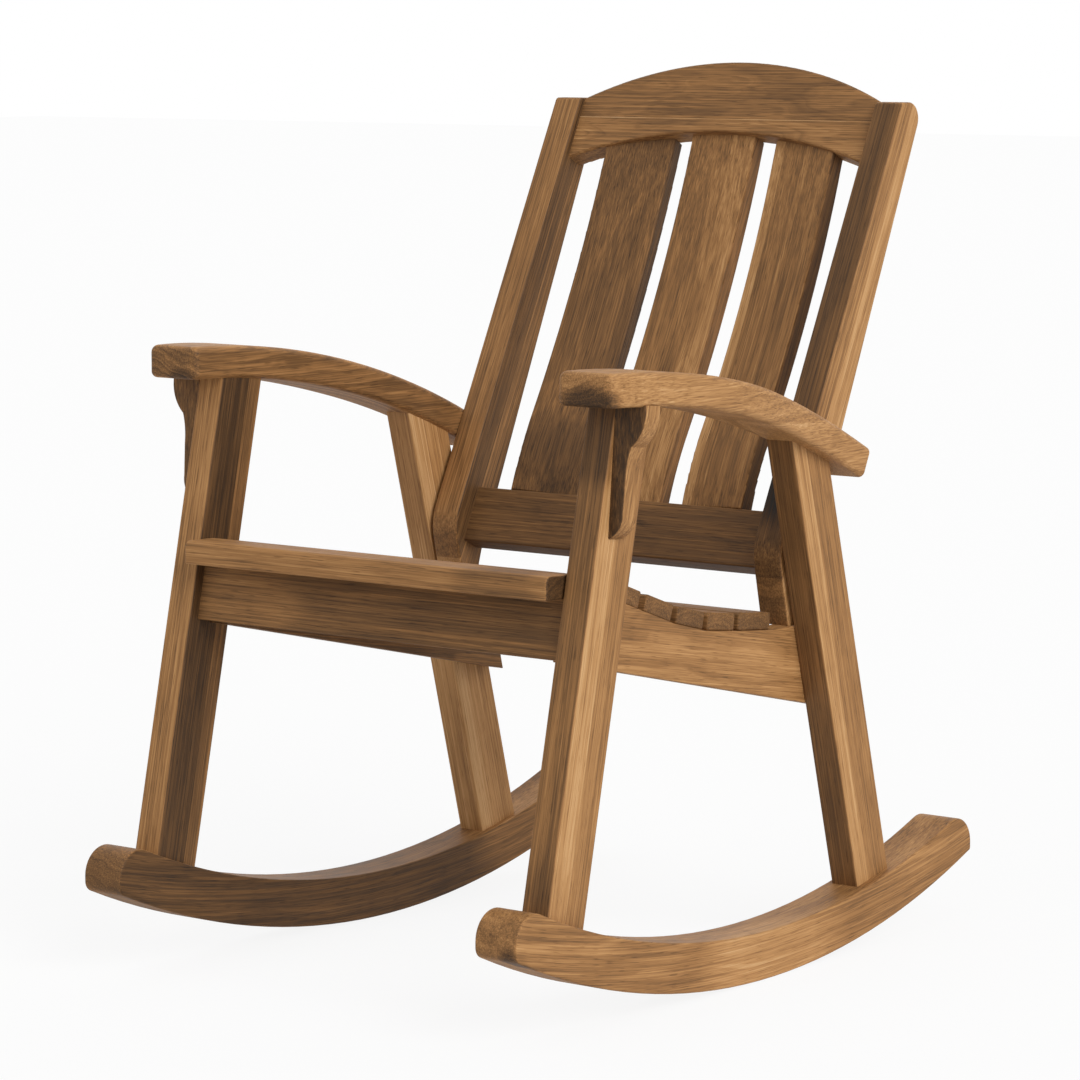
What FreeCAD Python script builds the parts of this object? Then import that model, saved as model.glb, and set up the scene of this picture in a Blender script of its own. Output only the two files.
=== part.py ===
import FreeCAD, Part
import math
import os
import re

import Sketcher

# A porch rocking chair, all in wood.
# Frame: X across the chair (plus X is the sitter's left), Y from front to back, Z up.
# The origin is on the ground, under the middle of the chair.
# Sizes are millimetres and degrees.

SIZES = [
    ("frame_width", 528.8, "between the inner faces of the left and right legs"),
    ("leg_thick", 36.4, "leg, across the chair"),
    ("leg_depth", 68, "leg, front to back, square to its length"),
    ("front_lean", 12.45, "lean of the front legs, tops to the rear"),
    ("front_leg_start", -416, "where the front legs' front edge would meet the ground"),
    ("rear_lean", 14.94, "lean of the rear legs, tops to the front"),
    ("rear_leg_start", 237.2, "where the rear legs' front edge would meet the ground"),
    ("rocker_radius", 1164, "radius of the rolling edge"),
    ("rocker_centre", 24, "middle of the rolling curve, front to back"),
    ("rocker_upper_centre", 30, "middle of the upper edge's curve, front to back"),
    ("rocker_depth", 56, "rocker, rolling edge to upper edge"),
    ("rocker_thick", 56, "rocker, across the chair"),
    ("rocker_inset", 7.4, "rocker's inner face inside the leg's inner face"),
    ("rocker_front", 457, "origin to the rockers' front ends"),
    ("rocker_rear", 453, "origin to the rockers' rear ends"),
    ("rocker_nose", 32, "rounding of the front end's upper corner"),
    ("rocker_toe", 13, "rounding of the front end's lower corner"),
    ("rocker_heel", 33, "rounding of the rear end's upper corner"),
    ("rocker_tail", 4, "rounding of the rear end's lower corner"),
    ("foot_housing", 3, "depth of the flat housing for a leg's foot"),
    ("arm_top", 719, "height of the arms' highest line"),
    ("arm_apex", -320, "where the arms' top is level, front to back"),
    ("arm_front", -318, "front ends of the arms"),
    ("arm_rear", 214, "rear ends of the arms, at their upper edge"),
    ("arm_radius", 1230, "radius of the arms' long bend"),
    ("arm_thick", 38, "thickness of an arm"),
    ("arm_front_width", 72, "arm's width at its front end"),
    ("arm_waist_width", 76, "arm's width where its outer edge turns to a hollow"),
    ("arm_rear_width", 57, "arm's width at its rear end"),
    ("arm_waist", 0, "where the outer edge turns, front to back"),
    ("arm_corner", 10, "rounding of the arm's front corners, seen from above"),
    ("arm_round", 9, "rounding of the arm's long edges"),
    ("arm_housing", 1.5, "depth of the housing for a leg's top"),
    ("bracket_thick", 27, "arm bracket, front to back"),
    ("bracket_front", -266, "front of the bracket at its top"),
    ("bracket_lean", 5, "lean of the bracket"),
    ("bracket_reach", 41, "bracket's reach out from the leg at its top"),
    ("bracket_neck", 19, "bracket's reach along its straight stretch"),
    ("bracket_drop", 147, "length of the bracket"),
    ("rail_thick", 28, "side rail, across the chair"),
    ("rail_under", 332.5, "height of the side rail's underside at the origin"),
    ("rail_slope", 12.55, "slope of the side rail's underside"),
    ("rail_setback", 8, "side rail's rear end inside the rear leg's rear edge"),
    ("seat_start", -287.5, "front of the second seat slat's bearing"),
    ("seat_pitch", 61.5, "one seat slat's bearing, front to back"),
    ("last_pitch", 72, "the last seat slat's bearing, front to back"),
    ("slat_thick", 20.5, "thickness of the seat slats"),
    ("slat_width", 53, "width of the seat slats"),
    ("last_slat_width", 64, "width of the last seat slat"),
    ("slat_end_gap", 2.4, "end of a seat slat to the leg's inner face"),
    ("front_slat_front", -338, "front face of the front seat slat"),
    ("front_slat_under", 471, "underside of the front seat slat, at its front"),
    ("front_slat_width", 50, "front seat slat, front to back"),
    ("front_slat_thick", 27, "thickness of the front seat slat"),
    ("front_slat_tilt", 1.9, "fall of the front seat slat towards the rear"),
    ("apron_inset", 13, "apron's face behind the legs' front edge"),
    ("apron_thick", 22, "thickness of the apron"),
    ("apron_bottom", 403, "height of the apron's lower edge"),
    ("cross_front", 96, "front face of the rear cross rail"),
    ("cross_thick", 24, "thickness of the rear cross rail"),
    ("cross_bottom", 330, "height of the rear cross rail's lower edge"),
    ("cross_top", 386, "height of the rear cross rail's upper edge"),
    ("back_lean", 26.4, "lean of the back"),
    ("back_start", 178, "a point of the posts' front plane, front to back"),
    ("back_level", 619, "height of that point"),
    ("post_gap", 4.6, "post's outer face to the leg's inner face"),
    ("post_thick", 39, "post, across the chair"),
    ("post_depth", 62, "post's depth at the arms"),
    ("post_top_depth", 42, "post's depth at its top"),
    ("post_top", 994, "height of the posts' tops"),
    ("post_knee", 155, "posts' bend below the arms, along the back"),
    ("post_foot_front", 129, "front of the post's foot"),
    ("post_foot_rear", 148, "rear of the post's foot"),
    ("post_heel", 167, "end of the post's straight rear edge, along the back"),
    ("post_crown", 20, "rounding of the post's rear top corner"),
    ("post_brow", 6, "rounding of the post's front top corner"),
    ("post_bend", 60, "rounding of the post's bend"),
    ("crest_set", 10, "crest rail's face behind the posts' face"),
    ("crest_thick", 30, "thickness of the crest rail"),
    ("crest_end_low", 342, "lower end corners of the crest rail, along the back"),
    ("crest_end_high", 424.5, "upper end corners of the crest rail, along the back"),
    ("crest_rise", 51, "rise of the crest rail's upper edge"),
    ("crest_arch", 39, "rise of the arch under the crest rail"),
    ("low_set", 26, "lower back rail's face behind the posts' face"),
    ("low_thick", 30, "thickness of the lower back rail"),
    ("low_top", -98, "upper edge of the lower back rail, along the back"),
    ("low_bottom", -168.5, "lower edge of the lower back rail, along the back"),
    ("back_slat_width", 96, "width of a back slat"),
    ("back_slat_thick", 21, "thickness of a back slat"),
    ("back_slat_pitch", 120, "middle to middle of the back slats"),
    ("back_slat_toe", 7.5, "turn of the outer back slats towards the sitter"),
    ("back_slat_top_set", 9, "back slat's face behind the crest rail's face"),
    ("back_slat_low_set", 8, "back slat's face behind the lower back rail's face"),
    ("back_hollow", 10.5, "hollow of the back slats"),
    ("back_turn", 0.2, "share of a back slat's length, from its lower end, that is bowed the other way"),
    ("outer_slat_lead", 2, "outer back slats in front of the middle one"),
    ("tenon_thick", 9, "thickness of a back slat's tenon"),
    ("tenon_width", 60, "width of a back slat's tenon"),
    ("tenon_long", 20, "length of a back slat's tenon in its mortise"),
    ("easing", 2.5, "rounding of the long edges"),
    ("crest_easing", 3.5, "rounding of the crest rail's long edges"),
    ("light_easing", 1.2, "rounding of the end edges"),
    ("fit", 0.1, "gap round a dowel, and at a curved shoulder"),
    ("dowel_radius", 5, "radius of the large dowels"),
    ("pin_radius", 4, "radius of the small dowels"),
    ("bolt_radius", 3, "radius of the frame bolts"),
    ("bolt_head_radius", 5.5, "radius of the bolts' heads"),
    ("bolt_head_long", 5, "length of the bolts' heads"),
    ("washer_radius", 9, "radius of the washers"),
    ("washer_thick", 1.5, "thickness of the washers"),
    ("insert_radius", 5, "outer radius of the threaded inserts in the legs"),
    ("insert_long", 16, "length of the threaded inserts"),
    ("bolt_reach", 18, "how far a bolt goes into the leg"),
]

# Height of the seat's bearing line at the joints between slats, front to back.
SEAT_HEIGHTS = [473.5, 464, 442, 420.5, 405.5, 398, 391]

SIDES = {"left": 1, "right": -1}

doc = FreeCAD.newDocument("porch_rocker")
sheet = doc.addObject("Spreadsheet::Sheet", "dims")
nodes = []


def write_sheet():
    """Put every driving size in the sheet under its own name."""
    rows = list(SIZES)
    for index, height in enumerate(SEAT_HEIGHTS):
        rows.append((f"seat_level_{index}_", height, "height of the seat's bearing line"))
    for row, (alias, value, meaning) in enumerate(rows, start=1):
        sheet.set(f"A{row}", meaning)
        sheet.set(f"B{row}", str(value))
        sheet.setAlias(f"B{row}", alias)
    doc.recompute()
    return sorted((alias for alias, _, _ in rows), key=len, reverse=True)


ALIASES = write_sheet()
ALIAS_PATTERN = re.compile(r"\b(" + "|".join(ALIASES) + r")\b")


def bound(expression):
    """The expression with every size's name pointed at the sheet."""
    return ALIAS_PATTERN.sub(r"dims.\1", str(expression))


def value(expression):
    """The expression's present value as a plain number."""
    result = sheet.evalExpression(bound(expression))
    return float(getattr(result, "Value", result))


# Lines and curves of the side view, as expressions in y and z.

def rocker_edge(y, radius, centre="rocker_centre"):
    """Height of a curve of the rocker with that radius and centre."""
    return f"(rocker_radius - sqrt(({radius})^2 - (({y}) - {centre})^2))"


def arm_underside(y):
    """Height of an arm's underside."""
    return f"(arm_top - arm_radius + sqrt((arm_radius - arm_thick)^2 - (({y}) - arm_apex)^2))"


def arm_middle(y):
    """Height of the middle of an arm's thickness."""
    return f"(arm_top - arm_radius + sqrt((arm_radius - arm_thick / 2)^2 - (({y}) - arm_apex)^2))"


def leg_line(end, share):
    """A leg's long line at a share of its depth from the front edge: y = start + z * slope."""
    if end == "front":
        return f"(front_leg_start + {share} * leg_depth / cos(front_lean))", "(tan(front_lean))"
    return f"(rear_leg_start + {share} * leg_depth / cos(rear_lean))", "(-tan(rear_lean))"


def on_line(line, z):
    """The y of a long line at height z."""
    start, slope = line
    return f"({start} + ({z}) * {slope})"


def meet(line, point, fall):
    """Where the long line y = start + z * slope meets the line of slope fall through point."""
    start, slope = line
    y0, z0 = point
    z = f"((({z0}) + ({fall}) * ({start} - ({y0}))) / (1 - ({fall}) * {slope}))"
    return on_line(line, z), z


def foot_plane(end):
    """A point and the slope of the flat housing that takes a leg's foot."""
    upper = "(rocker_radius - rocker_depth)"
    middle = leg_line(end, 0.5)
    centre = "rocker_upper_centre"
    near = value(rocker_edge(value(on_line(middle, value("rocker_depth * 2"))), upper, centre))
    y = value(on_line(middle, near))
    y = on_line(middle, rocker_edge(f"{y:.3f}", upper, centre))
    z = f"({rocker_edge(y, upper, centre)} - foot_housing)"
    fall = f"((({y}) - {centre}) / sqrt({upper}^2 - (({y}) - {centre})^2))"
    return (y, z), fall


def head_plane(end):
    """A point and the slope of the flat housing in the arm that takes a leg's top."""
    middle = leg_line(end, 0.5)
    near = value(arm_underside(value(on_line(middle, value("arm_top - arm_thick")))))
    y = on_line(middle, f"{near:.3f}")
    z = f"({arm_underside(y)} + arm_housing)"
    under = "(arm_radius - arm_thick)"
    fall = f"(-(({y}) - arm_apex) / sqrt({under}^2 - (({y}) - arm_apex)^2))"
    return (y, z), fall


def back_place(y, z):
    """A point of the side view in the back's own directions: behind its face, and up along it."""
    dy = f"(({y}) - back_start)"
    dz = f"(({z}) - back_level)"
    behind = f"({dy} * cos(back_lean) - {dz} * sin(back_lean))"
    along = f"({dy} * sin(back_lean) + {dz} * cos(back_lean))"
    return behind, along


# Building blocks.

def origin_plane(body, role):
    return [item for item in body.Origin.OriginFeatures if item.Role == role][0]


def draw(sketch, points):
    """Draw a closed outline. A point is (u, v), or (u, v, radius, side) where an arc starts.

    Side is 1 where the arc's centre lies to the left of the way along it, and -1 to the right.
    """
    seeds = [FreeCAD.Vector(value(point[0]), value(point[1]), 0) for point in points]
    ends = []
    for index, point in enumerate(points):
        here = seeds[index]
        there = seeds[(index + 1) % len(points)]
        if len(point) == 2:
            sketch.addGeometry(Part.LineSegment(here, there), False)
            ends.append((1, 2))
            continue
        radius = value(point[2])
        chord = there - here
        left = FreeCAD.Vector(-chord.y, chord.x, 0).normalize()
        rise = math.sqrt(radius ** 2 - (chord.Length / 2) ** 2)
        centre = (here + there) * 0.5 + left * (rise * point[3])
        angles = [math.atan2(end.y - centre.y, end.x - centre.x) for end in (here, there)]
        if point[3] < 0:
            angles.reverse()
        if angles[1] < angles[0]:
            angles[1] += 2 * math.pi
        circle = Part.Circle(centre, FreeCAD.Vector(0, 0, 1), radius)
        sketch.addGeometry(Part.ArcOfCircle(circle, angles[0], angles[1]), False)
        ends.append((1, 2) if point[3] > 0 else (2, 1))
    for index, point in enumerate(points):
        before = index - 1 if index else len(points) - 1
        sketch.addConstraint(Sketcher.Constraint("Coincident", before, ends[before][1], index, ends[index][0]))
    for index, point in enumerate(points):
        for kind, size, text in (("DistanceX", seeds[index].x, point[0]), ("DistanceY", seeds[index].y, point[1])):
            name = sketch.addConstraint(Sketcher.Constraint(kind, -1, 1, index, ends[index][0], size))
            sketch.setExpression(f"Constraints[{name}]", bound(text))
        if len(point) > 2:
            name = sketch.addConstraint(Sketcher.Constraint("Radius", index, value(point[2])))
            sketch.setExpression(f"Constraints[{name}]", bound(point[2]))


def new_sketch(body, role, name, points):
    sketch = body.newObject("Sketcher::SketchObject", name)
    sketch.AttachmentSupport = [(origin_plane(body, role), "")]
    sketch.MapMode = "FlatFace"
    draw(sketch, points)
    return sketch


def board(name, role, points, thickness, symmetric=False):
    """A body padded square to its outline."""
    body = doc.addObject("PartDesign::Body", name)
    sketch = new_sketch(body, role, f"{name}_outline", points)
    pad = body.newObject("PartDesign::Pad", f"{name}_pad")
    pad.Profile = sketch
    pad.setExpression("Length", bound(thickness))
    pad.Midplane = symmetric
    return body


def place(item, x="0", y="0", z="0", turn=None, axis=(1, 0, 0)):
    """Place an object by expressions, turned about one axis."""
    item.Placement = FreeCAD.Placement(FreeCAD.Vector(0, 0, 0), FreeCAD.Rotation(FreeCAD.Vector(*axis), 1))
    item.setExpression(".Placement.Rotation.Angle", bound(turn or "0"))
    for letter, text in (("x", x), ("y", y), ("z", z)):
        item.setExpression(f".Placement.Base.{letter}", bound(text))
    return item


def place_on_back(item, behind="0", along="0", extra="0"):
    """Place an object in the back's own directions, with its Z up along the back."""
    y = f"back_start + ({behind}) * cos(back_lean) + ({along}) * sin(back_lean)"
    z = f"back_level - ({behind}) * sin(back_lean) + ({along}) * cos(back_lean)"
    return place(item, "0", y, z, f"-back_lean - ({extra})")


def direction(edge):
    middle = (edge.FirstParameter + edge.LastParameter) / 2
    return edge.tangentAt(middle)


def is_along(edge, axis):
    return abs(direction(edge).dot(FreeCAD.Vector(*axis).normalize())) > 0.999


def round_edges(body, radius, chosen):
    """Round the edges of a body's last feature that the test picks."""
    body.recompute(True)
    base = body.Tip
    names = [f"Edge{number}" for number, edge in enumerate(base.Shape.Edges, start=1) if chosen(edge)]
    fillet = body.newObject("PartDesign::Fillet", f"{body.Name}_round")
    fillet.Base = (base, names)
    fillet.Radius = value(radius)
    fillet.setExpression("Radius", bound(radius))
    body.Tip = fillet
    return fillet


def across(edge):
    """The edge runs across the chair."""
    return is_along(edge, (1, 0, 0))


def not_across(edge):
    return not across(edge)


def middle_point(edge):
    return edge.valueAt((edge.FirstParameter + edge.LastParameter) / 2)


def at_corner(y, z):
    """The edge runs across the chair through that corner of a side view."""
    spot = (value(y), value(z))

    def chosen(edge):
        middle = middle_point(edge)
        return across(edge) and math.hypot(middle.y - spot[0], middle.z - spot[1]) < 0.1

    return chosen


def group(name, items):
    """Separate solids under one name."""
    bundle = doc.addObject("Part::Compound", name)
    bundle.Links = items
    return bundle


def joined(name, items):
    """Overlapping solids made one."""
    fused = doc.addObject("Part::MultiFuse", name)
    fused.Shapes = items
    return fused


def finish(item, label):
    """Make this object one of the chair's pieces, under its own name."""
    item.Label = label
    nodes.append(item)
    return item


class Joinery:
    """Dowels and bolts, and the holes that each piece gets for them."""

    def __init__(self):
        self.holes = {}
        self.parts = {}

    def rod(self, kind, number, radius, length, x, y, z, turn, axis):
        rod = doc.addObject("Part::Cylinder", f"{kind}_{number}")
        rod.setExpression("Radius", bound(radius))
        rod.setExpression("Height", bound(length))
        return place(rod, x, y, z, turn, axis)

    def drill(self, host, hole):
        self.holes.setdefault(host, []).append(hole)

    def dowel(self, kind, radius, half_long, centre, turn, axis, reach, hosts):
        """A dowel that reaches half_long each way from centre, and a hole for it in each host.

        Reach gives the way from the centre to the dowel's end, as three factors.
        """
        number = len(self.parts.setdefault(kind, []))
        ends = []
        for margin in ("0", "0.5"):
            ends.append([f"({middle}) - ({half_long} + {margin}) * ({way})" for middle, way in zip(centre, reach)])
        rod = self.rod(kind, number, radius, f"2 * ({half_long})", *ends[0], turn, axis)
        self.parts[kind].append(rod)
        hole = self.rod(f"{kind}_hole", number, f"{radius} + fit", f"2 * ({half_long} + 0.5)", *ends[1], turn, axis)
        for host in hosts:
            self.drill(host, hole)

    def dowel_across(self, kind, radius, half_long, centre, hosts):
        self.dowel(kind, radius, half_long, centre, "90", (0, 1, 0), ("1", "0", "0"), hosts)

    def dowel_upright(self, kind, radius, half_long, centre, lean, hosts):
        """Lean is the angle from upright, positive with the top to the rear."""
        self.dowel(kind, radius, half_long, centre, f"-({lean})", (1, 0, 0),
                   ("0", f"sin({lean})", f"cos({lean})"), hosts)

    def finish_piece(self, item, label, neighbours=()):
        """Cut the housings for the piece's neighbours, one at a time, and then its own holes."""
        tools = list(neighbours)
        holes = self.holes.get(label, [])
        if holes:
            tools.append(holes[0] if len(holes) == 1 else joined(f"{label}_holes", holes))
        for number, tool in enumerate(tools):
            cut = doc.addObject("Part::Cut", f"{label}_cut_{number}")
            cut.Base = item
            cut.Tool = tool
            item = cut
        return finish(item, label)


joinery = Joinery()


def leg(end, side):
    name = f"{side}_{end}_leg"
    front = leg_line(end, 0)
    rear = leg_line(end, 1)
    foot = foot_plane(end)
    head = head_plane(end)
    outline = [meet(front, *foot), meet(rear, *foot), meet(rear, *head), meet(front, *head)]
    body = board(f"{name}_body", "YZ_Plane", outline, "leg_thick")
    lean = value("front_lean") if end == "front" else -value("rear_lean")
    length = (0, math.sin(math.radians(lean)), math.cos(math.radians(lean)))
    round_edges(body, "easing", lambda edge: is_along(edge, length))
    x = "frame_width / 2" if SIDES[side] > 0 else "-frame_width / 2 - leg_thick"
    return place(body, x)


def rocker(side):
    name = f"{side}_rocker"
    lower = "rocker_radius"
    upper = "rocker_radius - rocker_depth"
    outline = [
        ("-rocker_front", rocker_edge("-rocker_front", lower), lower, 1),
        ("rocker_rear", rocker_edge("rocker_rear", lower)),
        ("rocker_rear", rocker_edge("rocker_rear", upper, "rocker_upper_centre"), upper, -1),
        ("-rocker_front", rocker_edge("-rocker_front", upper, "rocker_upper_centre")),
    ]
    body = board(f"{name}_body", "YZ_Plane", outline, "rocker_thick")
    for radius, index in (("rocker_tail", 1), ("rocker_heel", 2), ("rocker_nose", 3), ("rocker_toe", 0)):
        round_edges(body, radius, at_corner(*outline[index][:2]))
    round_edges(body, "easing", not_across)
    inner = "(frame_width / 2 - rocker_inset)"
    return place(body, inner if SIDES[side] > 0 else f"-{inner} - rocker_thick")


def arm(side):
    name = f"{side}_armrest"
    sign = SIDES[side]
    inner = "(frame_width / 2 - post_gap)"
    outer = "arm_radius"
    under = "(arm_radius - arm_thick)"
    core = "(arm_top - arm_radius)"
    spread = "((arm_rear - arm_apex) / arm_radius)"
    fall = f"sqrt(1 - {spread}^2)"
    outline = [
        ("arm_front", arm_underside("arm_front"), under, -1),
        (f"arm_apex + {under} * {spread}", f"{core} + {under} * {fall}"),
        ("arm_rear", f"{core} + {outer} * {fall}", outer, 1),
        ("arm_front", f"{core} + sqrt({outer}^2 - (arm_front - arm_apex)^2)"),
    ]
    body = board(f"{name}_body", "YZ_Plane", outline, "arm_front_width + arm_waist_width")
    start = inner if sign > 0 else f"-{inner} - arm_front_width - arm_waist_width"
    run = "(arm_rear - arm_waist)"
    step = "(arm_waist_width - arm_rear_width)"
    rear_radius = f"(({run}^2 + {step}^2) / (2 * {step}))"
    front_run = "(arm_waist - arm_front)"
    front_step = "(arm_waist_width - arm_front_width)"
    chord = f"sqrt({front_run}^2 + {front_step}^2)"
    turn = f"(2 * atan({step} / {run}) + atan({front_step} / {front_run}))"
    front_radius = f"({chord} / (2 * sin({turn})))"
    base = 0 if sign > 0 else "(arm_front_width + arm_waist_width)"
    far = "(arm_front_width + arm_waist_width + 10)"

    def point(width, y):
        return (f"{base} + {sign} * ({width})", y)

    waste = [
        point("arm_front_width", "arm_front - 10"),
        point("arm_front_width", "arm_front") + (front_radius, sign),
        point("arm_waist_width", "arm_waist") + (rear_radius, -sign),
        point("arm_rear_width", "arm_rear"),
        point("arm_rear_width", "arm_rear + 10"),
        point(far, "arm_rear + 10"),
        point(far, "arm_front - 10"),
    ]
    sketch = new_sketch(body, "XY_Plane", f"{name}_waste", waste)
    pocket = body.newObject("PartDesign::Pocket", f"{name}_shape")
    pocket.Profile = sketch
    pocket.Type = "ThroughAll"
    pocket.Midplane = True
    body.Tip = pocket
    front = value("arm_front") + 0.1
    round_edges(body, "arm_corner", lambda edge: is_along(edge, (0, 0, 1)) and middle_point(edge).y < front)
    round_edges(body, "arm_round", lambda edge: edge.CenterOfMass.z > value(arm_underside("arm_rear"))
                and not across_rear(edge) and is_upper(edge))
    round_edges(body, "arm_round - 2", lambda edge: not across_rear(edge) and is_lower(edge))
    return place(body, start)


def arm_offset(point):
    """How far a point is from the centre of the arms' long bend, less the top's radius."""
    height = point.z - value("arm_top - arm_radius")
    return math.hypot(point.y - value("arm_apex"), height) - value("arm_radius")


def is_upper(edge):
    return abs(arm_offset(middle_point(edge))) < 0.2


def is_lower(edge):
    return abs(arm_offset(middle_point(edge)) + value("arm_thick")) < 0.2


def across_rear(edge):
    return across(edge) and middle_point(edge).y > 0


def bracket(side):
    name = f"{side}_arm_bracket"
    sign = SIDES[side]
    shoulder = 4
    hip = 46
    neck = 80
    toe = 118

    def point(reach, drop):
        return (f"{sign} * ({reach})", f"-({drop})")

    outline = [
        point("0", "0"),
        point("bracket_reach", "0"),
        point("bracket_reach", shoulder) + ("48", -sign),
        point("bracket_neck + 5", hip) + ("95", sign),
        point("bracket_neck", neck),
        point("bracket_neck - 1.5", toe) + ("29", -sign),
        point("0", "bracket_drop"),
    ]
    body = board(f"{name}_body", "XZ_Plane", outline, "bracket_thick", True)
    round_edges(body, "easing", lambda edge: middle_point(edge).x * sign > 0.5 and abs(direction(edge).y) < 0.1
                and middle_point(edge).z < -1)
    y = f"(bracket_front + bracket_thick / 2 * cos(bracket_lean))"
    z = f"({arm_underside(y)} + arm_housing + 0.5)"
    return place(body, f"{sign} * (frame_width / 2 + leg_thick)", y, z, "-bracket_lean")


def seat_joint(index):
    """A joint of the seat's bearing line."""
    last = len(SEAT_HEIGHTS) - 1
    if index < last:
        return f"(seat_start + {index} * seat_pitch)", f"seat_level_{index}_"
    return f"(seat_start + {last - 1} * seat_pitch + last_pitch)", f"seat_level_{last}_"


def front_slat_under(y):
    return f"(front_slat_under - (({y}) - front_slat_front) * tan(front_slat_tilt))"


def apron_line(behind):
    """A long line of the apron, behind the front legs' front edge and parallel to it."""
    start, slope = leg_line("front", 0)
    return f"({start} + ({behind}) / cos(front_lean))", slope


def apron():
    face = apron_line("apron_inset")
    rear = apron_line("apron_inset + apron_thick")
    seat = ("front_slat_front", "front_slat_under")
    fall = "(-tan(front_slat_tilt))"
    outline = [
        (on_line(face, "apron_bottom"), "apron_bottom"),
        (on_line(rear, "apron_bottom"), "apron_bottom"),
        meet(rear, seat, fall),
        meet(face, seat, fall),
    ]
    body = board("apron_body", "YZ_Plane", outline, "frame_width", True)
    low = value("apron_bottom + 1")
    round_edges(body, "easing", lambda edge: across(edge) and middle_point(edge).z < low)
    return body


def side_rail(side):
    name = f"{side}_seat_rail"
    front = apron_line("apron_inset + apron_thick")
    start, slope = leg_line("rear", 1)
    rear = (f"({start} - rail_setback)", slope)
    under = (("0", "rail_under"), "(-tan(rail_slope))")
    last = len(SEAT_HEIGHTS) - 1
    level = seat_joint(last)[1]
    first = seat_joint(0)
    second = seat_joint(1)
    fall = f"(({second[1]} - {first[1]}) / seat_pitch)"
    outline = [meet(front, *under), meet(rear, *under), (on_line(rear, level), level)]
    for index in range(last, 0, -1):
        outline.append(seat_joint(index))
    outline.append(meet(front, first, fall))
    body = board(f"{name}_body", "YZ_Plane", outline, "rail_thick")
    round_edges(body, "light_easing", lambda edge: not_across(edge) and middle_point(edge).z < value("rail_under + 60")
                and abs(direction(edge).z) < 0.4)
    x = "frame_width / 2 - rail_thick" if SIDES[side] > 0 else "-frame_width / 2"
    return place(body, x)


def slat_block(name, width, thickness, nose):
    """A seat slat lying level, with its underside's middle at the origin."""
    half = f"({width}) / 2"
    outline = [(f"-{half}", "0"), (half, "0"), (half, thickness), (f"-{half}", thickness)]
    body = board(name, "YZ_Plane", outline, "frame_width - 2 * slat_end_gap", True)
    front = -value(half)
    round_edges(body, nose, lambda edge: across(edge) and abs(middle_point(edge).z - value(thickness)) < 0.1
                and middle_point(edge).y < front + 1)
    round_edges(body, "easing", lambda edge: not (across(edge) and middle_point(edge).y < front + value(nose) + 1
                and middle_point(edge).z > value(thickness) / 2))
    return body


def front_slat():
    body = slat_block("front_slat_body", "front_slat_width", "front_slat_thick", "3 * easing")
    y = "(front_slat_front + front_slat_width / 2 * cos(front_slat_tilt))"
    return place(body, "0", y, front_slat_under(y), "-front_slat_tilt")


def seat_slat(number):
    """Slats are counted from the front; the second lies on the first stretch of the rails."""
    first = seat_joint(number - 2)
    second = seat_joint(number - 1)
    last = number == len(SEAT_HEIGHTS)
    width = "last_slat_width" if last else "slat_width"
    body = slat_block(f"seat_slat_{number}_body", width, "slat_thick", "easing + 0.5")
    y = f"(({first[0]} + {second[0]}) / 2)"
    z = f"(({first[1]} + {second[1]}) / 2)"
    turn = f"atan(({second[1]} - {first[1]}) / ({second[0]} - {first[0]}))"
    return place(body, "0", y, z, turn)


def cross_rail():
    outline = [
        ("cross_front", "cross_bottom"),
        ("cross_front + cross_thick", "cross_bottom"),
        ("cross_front + cross_thick", "cross_top"),
        ("cross_front", "cross_top"),
    ]
    body = board("cross_rail_body", "YZ_Plane", outline, "frame_width - 2 * rail_thick", True)
    round_edges(body, "easing", across)
    return body


def post(side):
    name = f"{side}_back_post"
    foot_level = seat_joint(len(SEAT_HEIGHTS) - 1)[1]
    top_y = "(back_start + (post_top - back_level) * tan(back_lean))"
    top_rear = f"({top_y} + post_top_depth / cos(back_lean))"
    taper = f"((post_depth - post_top_depth) / ((post_top - back_level) / cos(back_lean)))"
    outline = [
        back_place("post_foot_front", foot_level),
        back_place("post_foot_rear", foot_level),
        (f"post_depth + post_heel * {taper} / 2", "-post_heel"),
        back_place(top_rear, "post_top"),
        back_place(top_y, "post_top"),
        ("0", "-post_knee"),
    ]
    body = board(f"{name}_body", "YZ_Plane", outline, "post_thick")

    round_edges(body, "post_crown", at_corner(*outline[3]))
    round_edges(body, "post_brow", at_corner(*outline[4]))
    round_edges(body, "post_bend", at_corner(*outline[5]))
    low = value(outline[1][1])
    round_edges(body, "easing", lambda edge: not_across(edge) and middle_point(edge).z > low + 8)
    body = place_on_back(body)
    inner = "(frame_width / 2 - post_gap - post_thick)"
    body.setExpression(".Placement.Base.x", bound(inner if SIDES[side] > 0 else f"-{inner} - post_thick"))
    return body


BACK_HALF = "(frame_width / 2 - post_gap - post_thick)"


def crest_rail():
    arch = f"(({BACK_HALF}^2 + crest_arch^2) / (2 * crest_arch))"
    brow = f"(({BACK_HALF}^2 + crest_rise^2) / (2 * crest_rise))"
    outline = [
        (f"-{BACK_HALF}", "crest_end_low", arch, -1),
        (BACK_HALF, "crest_end_low"),
        (BACK_HALF, "crest_end_high", brow, 1),
        (f"-{BACK_HALF}", "crest_end_high"),
    ]
    body = board("crest_rail_body", "XZ_Plane", outline, "crest_thick", True)
    reach = value(BACK_HALF) - 1
    round_edges(body, "crest_easing", lambda edge: not is_along(edge, (0, 1, 0)) and abs(middle_point(edge).x) < reach)
    return place_on_back(body, "crest_set + crest_thick / 2")


def lower_rail():
    outline = [
        ("low_set", "low_bottom"),
        ("low_set + low_thick", "low_bottom"),
        ("low_set + low_thick", "low_top"),
        ("low_set", "low_top"),
    ]
    body = board("lower_rail_body", "YZ_Plane", outline, f"2 * {BACK_HALF}", True)
    round_edges(body, "easing", across)
    return place_on_back(body)


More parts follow.
